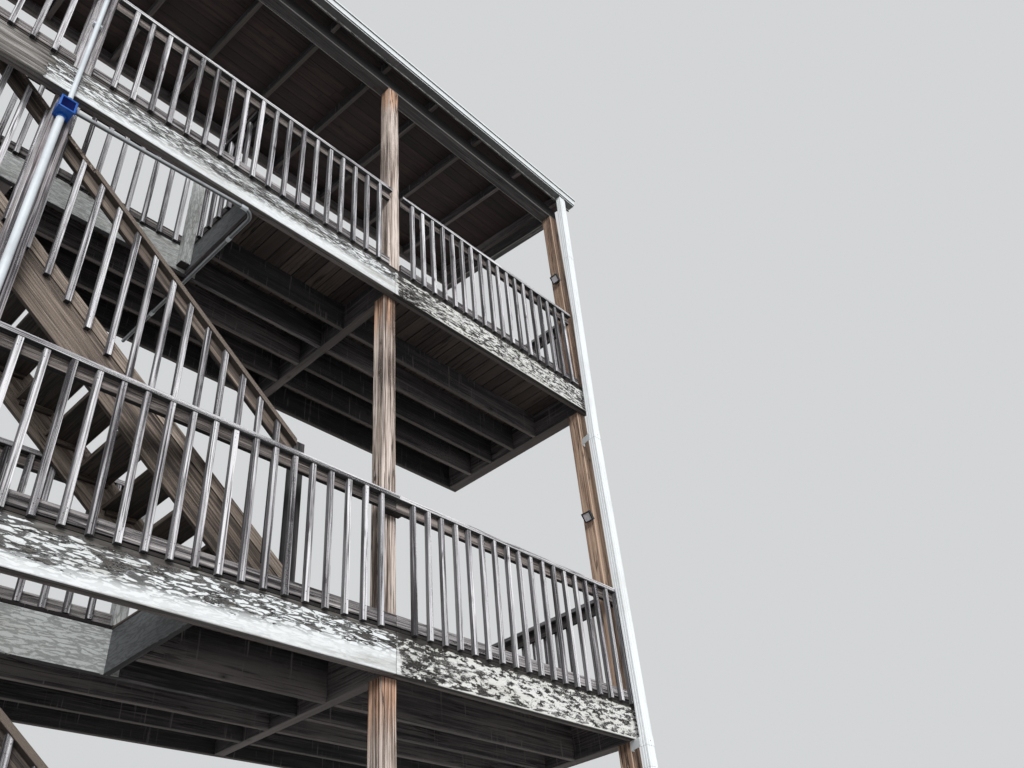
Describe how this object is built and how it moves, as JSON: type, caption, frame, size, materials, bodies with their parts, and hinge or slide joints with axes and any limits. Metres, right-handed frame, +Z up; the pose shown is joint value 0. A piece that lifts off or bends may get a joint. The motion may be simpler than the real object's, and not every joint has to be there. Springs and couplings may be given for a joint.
{
  "type": "fire escape stair",
  "caption": "Timber fire escape stair: two roofed open galleries on tall posts against a wall, joined by straight flights, with baluster guards, gutter and downspout.",
  "frame": {"origin": "centre of the foot of the second post from the left, on the ground", "axes": "+X along the galleries towards the downspout, +Y from the open side to the wall, +Z up"},
  "size_m": [9.32, 2.467, 10.7153],
  "materials": {
    "weathered_post": "bare, weathered, knotty",
    "tan_post": "newer bare softwood with streaks and knots",
    "peeling_paint": "white paint peeling off grey wood",
    "frame_timber": "dark bare wood",
    "painted_trim": "old pale paint, peeling",
    "deck_boards": "dark weathered boards",
    "guard_wood": "bare weathered wood",
    "stair_wood": "bare weathered wood",
    "roof_timber": "bare grey wood",
    "roof_boards": "dark red-brown boards",
    "fascia_paint": "worn pale paint",
    "white_sheet": "clean white enamel",
    "conduit": "smooth",
    "blue_box": "satin",
    "lamp_black": "satin"
  },
  "bodies": {
    "root": {"end_post_left": "weathered_post", "post_left": "weathered_post", "post_right": "tan_post", "end_post_right": "tan_post", "lower_rim": "peeling_paint", "upper_rim": "peeling_paint", "rim_plies": "frame_timber", "cross_girders": "frame_timber", "lower_joists": "frame_timber", "upper_joists": "frame_timber", "wall_ledgers": "frame_timber", "rafters": "frame_timber", "lower_trimmers": "painted_trim", "upper_trimmers": "painted_trim", "newels": "painted_trim", "lower_deck": "deck_boards", "upper_deck": "deck_boards", "lower_guard_left": "guard_wood", "lower_guard_middle": "guard_wood", "lower_guard_right": "guard_wood", "upper_guard_left": "guard_wood", "upper_guard_middle": "guard_wood", "upper_guard_right": "guard_wood", "lower_end_guard_left": "guard_wood", "lower_end_guard_right": "guard_wood", "upper_end_guard_left": "guard_wood", "upper_end_guard_right": "guard_wood", "lower_well_guard": "guard_wood", "upper_well_guard": "guard_wood", "well_end_guard": "guard_wood", "lower_stair_guard": "guard_wood", "upper_stair_guard": "guard_wood", "lower_stringers": "stair_wood", "upper_stringers": "stair_wood", "lower_treads": "stair_wood", "upper_treads": "stair_wood", "roof_beams": "roof_timber", "roof_deck": "roof_boards", "fascia": "fascia_paint", "gutter": "white_sheet", "downspout": "white_sheet", "conduits": "conduit", "junction_box": "blue_box", "flood_lights": "lamp_black"}
  },
  "joints": []
}
